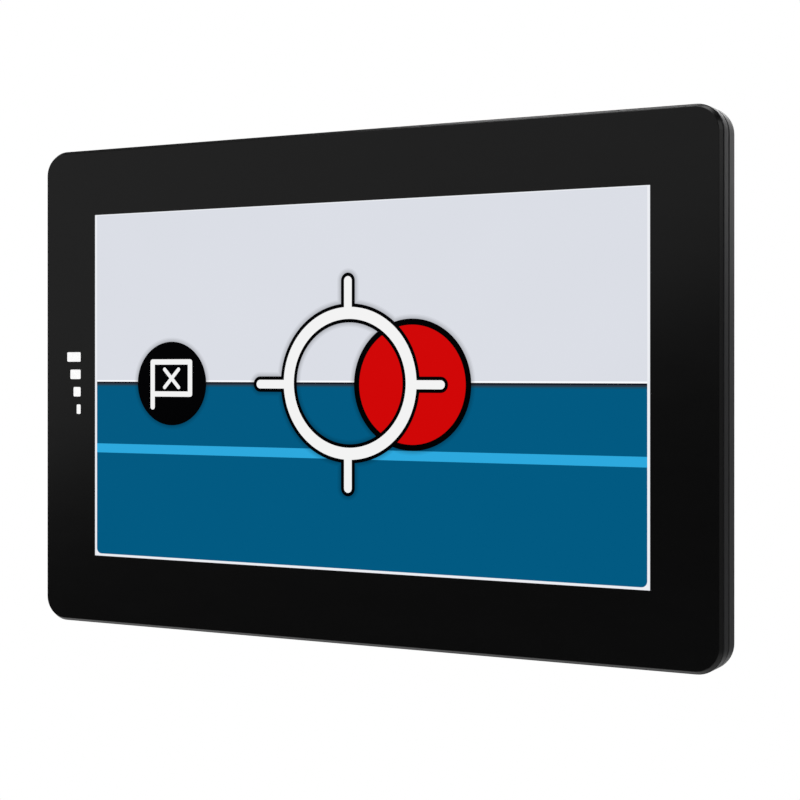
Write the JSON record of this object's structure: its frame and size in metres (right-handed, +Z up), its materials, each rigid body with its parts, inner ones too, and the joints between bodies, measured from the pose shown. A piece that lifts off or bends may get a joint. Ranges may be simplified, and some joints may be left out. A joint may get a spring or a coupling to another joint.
{
  "type": "radar detector",
  "caption": "Slim landscape touch display with a glass front, and behind it a shallow pod that holds the radar and laser receivers, with a flat mounting pad on its back.",
  "frame": {"origin": "centre of the mounting pad's face, at the very back of the pod", "axes": "+Y out of the mounting pad, away from the viewer; the screen faces -Y; +X to the right of a person who looks at the screen; +Z up"},
  "size_m": [0.1866, 0.0265, 0.125],
  "materials": {
    "cover_glass": "clear glass, polished, over a black printed border",
    "adhesive": "black foam adhesive tape",
    "sensor_film": "clear touch film, seen against the black print",
    "screen": "lit colour screen",
    "backlight": "light guide and films in a white tray",
    "frame": "satin black anodised",
    "seal": "matte black silicone",
    "shell": "fine spark-eroded texture",
    "aluminium": "bare sheet",
    "brass": "turned and knurled",
    "screw_steel": "black zinc plated",
    "circuit_board": "green solder mask",
    "tinned_steel": "tinned sheet",
    "ceramic": "unglazed, with a plated patch",
    "steel": "nickel plated",
    "antenna_board": "dark blue mask with copper patches",
    "radar_window": "smooth satin black, clear to radio waves",
    "laser_lens": "polished dark red, clear to infrared",
    "button_cap": "satin black",
    "switch_body": "black nylon",
    "plunger": "natural acetal",
    "socket_plastic": "black nylon",
    "speaker_cone": "coated paper",
    "ribbon": "amber film with copper tracks"
  },
  "bodies": {
    "housing": {"cover_glass": "cover_glass", "glass_adhesive": "adhesive", "touch_sensor": "sensor_film", "lcd_panel": "screen", "backlight_unit": "backlight", "front_frame": "frame", "perimeter_seal": "seal", "pod_gasket": "seal", "rear_shell": "shell", "pod_cover": "shell", "chassis_plate": "aluminium", "mount_insert_1": "brass", "mount_insert_2": "brass", "mount_insert_3": "brass", "mount_insert_4": "brass", "case_screw_1": "screw_steel", "case_screw_2": "screw_steel", "case_screw_3": "screw_steel", "case_screw_4": "screw_steel", "case_screw_5": "screw_steel", "case_screw_6": "screw_steel", "pod_screw_1": "screw_steel", "pod_screw_2": "screw_steel", "pod_screw_3": "screw_steel", "pod_screw_4": "screw_steel", "main_board": "circuit_board", "key_board": "circuit_board", "laser_sensor": "circuit_board", "processor_shield": "tinned_steel", "radar_module": "tinned_steel", "gnss_antenna": "ceramic", "backup_cell": "steel", "speaker_basket": "steel", "power_socket": "steel", "data_socket": "steel", "card_socket": "steel", "service_door_pin": "steel", "radar_antenna": "antenna_board", "radar_window": "radar_window", "laser_lens": "laser_lens", "volume_up_switch": "switch_body", "volume_down_switch": "switch_body", "mute_switch": "switch_body", "power_switch": "switch_body", "audio_jack": "socket_plastic", "speaker_cone": "speaker_cone", "lcd_ribbon": "ribbon", "touch_ribbon": "ribbon", "key_ribbon": "ribbon"},
    "volume_up_key": {"volume_up_button": "button_cap", "volume_up_plunger": "plunger"},
    "volume_down_key": {"volume_down_button": "button_cap", "volume_down_plunger": "plunger"},
    "mute_key": {"mute_button": "button_cap", "mute_plunger": "plunger"},
    "power_key": {"power_button": "button_cap", "power_plunger": "plunger"},
    "service_door": {"service_door": "shell", "service_door_seal": "seal"}
  },
  "joints": [
    {"name": "volume_up_press", "type": "slide", "parent": "housing", "child": "volume_up_key", "axis": [0, 0, -1], "range_m": [0, 0.0004], "stiffness_N_per_m": 800, "springref_m": -0.001},
    {"name": "volume_down_press", "type": "slide", "parent": "housing", "child": "volume_down_key", "axis": [0, 0, -1], "range_m": [0, 0.0004], "stiffness_N_per_m": 800, "springref_m": -0.001},
    {"name": "mute_press", "type": "slide", "parent": "housing", "child": "mute_key", "axis": [0, 0, -1], "range_m": [0, 0.0004], "stiffness_N_per_m": 800, "springref_m": -0.001},
    {"name": "power_press", "type": "slide", "parent": "housing", "child": "power_key", "axis": [0, 0, -1], "range_m": [0, 0.0004], "stiffness_N_per_m": 800, "springref_m": -0.001},
    {"name": "service_door_hinge", "type": "hinge", "parent": "housing", "child": "service_door", "pos_m": [-0.073, -0.0059, 0], "axis": [0, 0, -1], "range_deg": [0, 105]}
  ]
}
